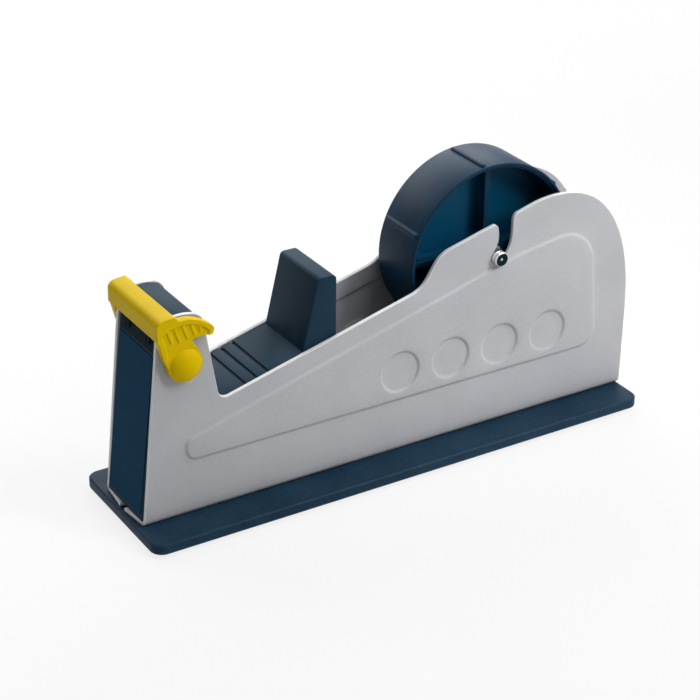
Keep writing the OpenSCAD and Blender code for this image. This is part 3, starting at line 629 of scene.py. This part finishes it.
def bar_roots(bm):
    """Fills the thin slits between the bar's inner curve and the tops of the guard's arms."""
    low_r, high_r = root_r
    skin, depth = root_depth
    for way in (-1, 1):
        rings = []
        for angle in np.radians(np.linspace(*root_turns, root_steps)):
            rings.append([bm.verts.new((pivot_x + r * math.cos(angle), way * (arm_y - deep),
                                        pivot_z + r * math.sin(angle)))
                          for r, deep in ((low_r, skin), (high_r, skin), (high_r, depth), (low_r, depth))])
        for one, two in zip(rings, rings[1:]):
            for k in range(4):
                bm.faces.new((one[k], two[k], two[k - 1], one[k - 1]))
        bm.faces.new(rings[0])
        bm.faces.new(rings[-1][::-1])
    bmesh.ops.recalc_face_normals(bm, faces=bm.faces)


def with_lips(spots):
    """Lifts a lip along the edges of the guard's arms, on their outer faces, and lowers the thumb ribs."""
    for way in (-1, 1):
        rim = stepped(same_turn(rims_at("safety_guard", way * arm_y, way)[0]), lip_step)
        boss = rim[:, 1] < pivot_z + boss_top
        under_wing = (rim[:, 0] > pivot_x + wing_from) & (rim[:, 1] < pivot_z + wing_top)
        lipped = ~(boss | under_wing)
        first = int(np.flatnonzero(lipped & ~np.roll(lipped, 1))[0])
        run = np.roll(rim, -first, axis=0)[np.roll(lipped, -first)]
        out = way * spots[:, 1] - arm_y
        outer = np.flatnonzero(out > -lip_side - lip_margin)
        at = out[outer]
        rim_way = way_to(np.vstack([run, run[::-1]]), spots[outer][:, [0, 2]])
        share = (eased(np.clip((lip_w + lip_slope / 2 - rim_way) / lip_slope, 0, 1))
                 * np.clip((at + lip_side) / (0.8 * lip_side), 0, 1))
        at = np.where(at > rib_least, at * rib_share, at)
        spots[outer, 1] = way * (arm_y + np.maximum(at, 0) * (1 - share) + np.minimum(at, 0) + lip_h * share)
    return spots


# ---------------------------------------------------------------- pieces

softened("painted_base", "base_plate", base_paint, width_mm=0.35)
softened("moulded_nose", "nose", navy_plastic, width_mm=0.35)
softened("grooved_rest", "tape_rest", navy_plastic, width_mm=0.3)
softened("tall_block", "upright_block", navy_plastic, width_mm=0.3)
softened("spoked_hub", "tape_hub", hub_plastic, width_mm=0.3)
turned_axle()
remoulded("winged_guard", "safety_guard", guard_yellow, voxel_mm=0.22, rounds=3, fill=bar_roots,
          relief=with_lips)
softened("near_cap", "pivot_cap_near", guard_yellow, width_mm=0.25)
softened("far_cap", "pivot_cap_far", guard_yellow, width_mm=0.25)

plain_pieces = {
    "foot_front_near": foot_rubber, "foot_front_far": foot_rubber,
    "foot_rear_near": foot_rubber, "foot_rear_far": foot_rubber,
    "frame_screws": zinc_steel, "frame_nuts": zinc_steel, "nose_screws": zinc_steel,
    # The blade clamp and its screws take the dark finish, which paints the shade under the guard's bar.
    "front_label": label_film, "cutting_blade": blade_steel, "blade_clamp": dark_steel_painted_shade,
    "blade_screws": dark_steel_painted_shade, "tape_rest_screws": zinc_steel, "guard_spring": zinc_steel,
    "guard_pin": zinc_steel, "axle_clip_near": clamp_steel, "axle_clip_far": clamp_steel,
}
for node, finish in plain_pieces.items():
    data = frame["nodes"][node].data
    data.materials.clear()
    data.materials.append(finish)

# ---------------------------------------------------------------- floor, light and camera

white, floor_white_share = grey(1), 0.8
floor_size, room_level = 12, 0.54


def floor_finish():
    """Near-white floor that reads as paper white and keeps the object's shadow."""
    f = Finish("floor_paper")
    paper = f.ramp(f.grain(60), low=0.2, high=0.8)
    lit = f.surface(base_color=f.blend(paper, grey(0.76), grey(0.80)), roughness=0.9)
    glow = f.node("ShaderNodeEmission", {}, {"Color": white})
    shows = f.shows_white() * floor_white_share
    return f.shown(f.node("ShaderNodeMixShader", {}, {0: shows, 1: lit, 2: glow}))


bpy.ops.mesh.primitive_plane_add(size=floor_size, location=(0, 0, 0))
floor = bpy.context.object
floor.name = "studio_floor"
floor.data.materials.append(floor_finish())

# The room is dark to the left, where X is -1, and brightest to the right, where X is 1.
world = bpy.data.worlds.new("studio")
bpy.context.scene.world = world
world.use_nodes = True
studio = Shader(world.node_tree)
way_out = studio.node("ShaderNodeTexCoord", output="Generated")
toward_x = studio.node("ShaderNodeSeparateXYZ", {}, {0: way_out}, output="X")
dark_wall, bright_wall, paper_wall = (
    studio.node("ShaderNodeBackground", {}, {"Color": white, "Strength": level})
    for level in (0.0, room_level, 1.0))
room = studio.node("ShaderNodeMixShader", {}, {0: toward_x * 0.5 + 0.5, 1: dark_wall, 2: bright_wall})
around = studio.node("ShaderNodeMixShader", {}, {0: studio.shows_white(), 1: room, 2: paper_wall})
studio.node("ShaderNodeOutputWorld", {}, {"Surface": around})


def lamp(name, place, target, width, height, power, spread=180):
    data = bpy.data.lights.new(name, "AREA")
    data.shape, data.size, data.size_y = "RECTANGLE", width, height
    data.energy, data.spread = power, math.radians(spread)
    obj = bpy.data.objects.new(name, data)
    bpy.context.scene.collection.objects.link(obj)
    obj.location = place
    obj.rotation_euler = (Vector(target) - Vector(place)).to_track_quat("-Z", "Y").to_euler()


lamp("overhead_softbox", (0.28, -0.46, 1.12), (0.03, 0, 0.05), width=0.6, height=0.6, power=5.3)
lamp("back_softbox", (0.10, 1.0, 0.72), (0, 0, 0.06), width=1.7, height=0.6, power=15)
lamp("key_softbox", (0.36, -0.40, 0.44), (0.08, 0, 0.085), width=0.3, height=0.3, power=0.25, spread=40)

# The view of the photograph, as solved from its edges.
camera_place = Vector((-373.286, -581.284, 406.748)) * MM
azimuth, elevation, roll = (math.radians(v) for v in (-31.922, 27.724, 0.728))
camera_data = bpy.data.cameras.new("photo_view")
camera_data.lens, camera_data.sensor_width, camera_data.clip_start = 102.463, 36, 0.01
camera = bpy.data.objects.new("photo_view", camera_data)
bpy.context.scene.collection.objects.link(camera)
ahead = -Vector((math.sin(azimuth) * math.cos(elevation), -math.cos(azimuth) * math.cos(elevation),
                 math.sin(elevation)))
side_way = ahead.cross(Vector((0, 0, 1))).normalized()
up_way = side_way.cross(ahead)
right = math.cos(roll) * side_way + math.sin(roll) * up_way
up = math.cos(roll) * up_way - math.sin(roll) * side_way
camera.matrix_world = Matrix.Translation(camera_place) @ Matrix((right, up, -ahead)).transposed().to_4x4()
bpy.context.scene.camera = camera
bpy.context.scene.view_settings.view_transform = "Standard"
